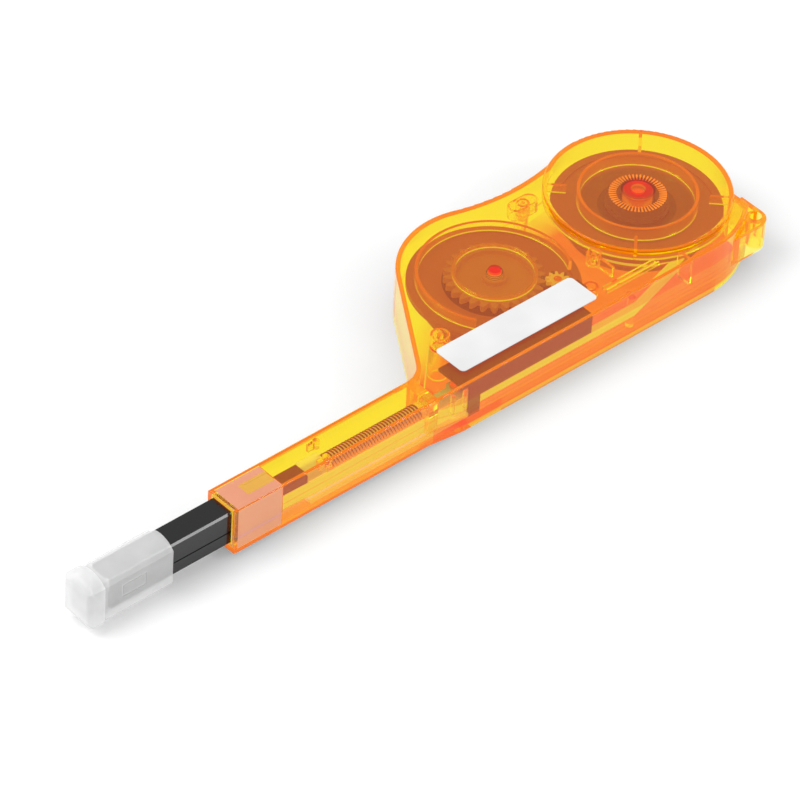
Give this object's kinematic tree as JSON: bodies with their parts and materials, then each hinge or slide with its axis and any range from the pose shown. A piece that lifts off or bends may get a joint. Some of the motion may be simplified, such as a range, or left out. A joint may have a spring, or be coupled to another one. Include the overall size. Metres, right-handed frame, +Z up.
{
  "type": "fibre connector cleaning pen",
  "caption": "Flat cassette cleaning pen for multi-fibre connectors: clear orange casing with tape reels and gearing in view, long nozzle, sliding black guide tube, frosted end cap with lid.",
  "frame": {"origin": "Under the middle of the whole pen, on the surface it lies on.", "axes": "X runs along the pen, the nozzle and cap towards -X and the reels towards +X. Z points up out of the broad face with the label. Y runs across, the bulge round the reels towards +Y."},
  "size_m": [0.22, 0.0513, 0.0161],
  "materials": {
    "casing_plastic": "clear tinted moulding, polished",
    "bush_plastic": "plain moulding, smooth",
    "black_plastic": "plain moulding, semi-gloss",
    "reel_plastic": "plain moulding, semi-gloss",
    "natural_plastic": "unpigmented moulding",
    "white_plastic": "plain moulding",
    "tape_fabric": "fine woven cleaning tape",
    "spring_steel": "drawn wire",
    "label_film": "bare printed film",
    "cap_plastic": "frosted clear moulding"
  },
  "bodies": {
    "casing": {"upper_shell": "casing_plastic", "lower_shell": "casing_plastic", "nose_bush": "bush_plastic", "head_shaft": "white_plastic", "head_tip": "white_plastic", "cleaning_tape": "tape_fabric", "main_spring": "spring_steel", "takeup_spring": "spring_steel", "label": "label_film"},
    "slide": {"guide_tube": "black_plastic", "slide_link": "natural_plastic", "rack_slider": "black_plastic"},
    "pinion": {"drive_pinion": "natural_plastic"},
    "gear": {"takeup_gear": "black_plastic"},
    "takeup": {"takeup_reel": "reel_plastic", "takeup_tape": "tape_fabric"},
    "supply": {"supply_reel": "reel_plastic", "supply_tape": "tape_fabric", "supply_crown": "natural_plastic"},
    "cap": {"cap_body": "cap_plastic"},
    "lid": {"cap_lid": "cap_plastic"}
  },
  "joints": [
    {"name": "guide_slide", "type": "slide", "parent": "casing", "child": "slide", "axis": [1, 0, 0], "range_m": [0, 0.008], "stiffness_N_per_m": 250, "springref_m": -0.006, "deforming": ["main_spring"]},
    {"name": "pinion_turn", "type": "hinge", "parent": "casing", "child": "pinion", "pos_m": [0.04884, -0.00995, 0.012], "axis": [0, 0, 1], "range_deg": [0, 183.4]},
    {"name": "gear_turn", "type": "hinge", "parent": "casing", "child": "gear", "pos_m": [0.0388, 0.0016, 0.0118], "axis": [0, 0, 1], "range_deg": [-56.5, 0]},
    {"name": "takeup_turn", "type": "hinge", "parent": "casing", "child": "takeup", "pos_m": [0.0388, 0.0016, 0.007], "axis": [0, 0, 1], "range_deg": [-56.5, 0]},
    {"name": "supply_turn", "type": "hinge", "parent": "casing", "child": "supply", "pos_m": [0.0864, 0.0016, 0.007], "axis": [0, 0, 1], "range_deg": [-25.3, 0]},
    {"name": "cap_pull", "type": "slide", "parent": "slide", "child": "cap", "axis": [-1, 0, 0], "range_m": [0, 0.016]},
    {"name": "lid_pull", "type": "slide", "parent": "cap", "child": "lid", "axis": [-1, 0, 0], "range_m": [0, 0.006]}
  ],
  "couplings": [
    {"joint": "pinion_turn", "follows": "guide_slide", "rad_per_m": 400},
    {"joint": "gear_turn", "follows": "guide_slide", "rad_per_m": -123.08},
    {"joint": "takeup_turn", "follows": "guide_slide", "rad_per_m": -123.08},
    {"joint": "supply_turn", "follows": "guide_slide", "rad_per_m": -55.023}
  ]
}
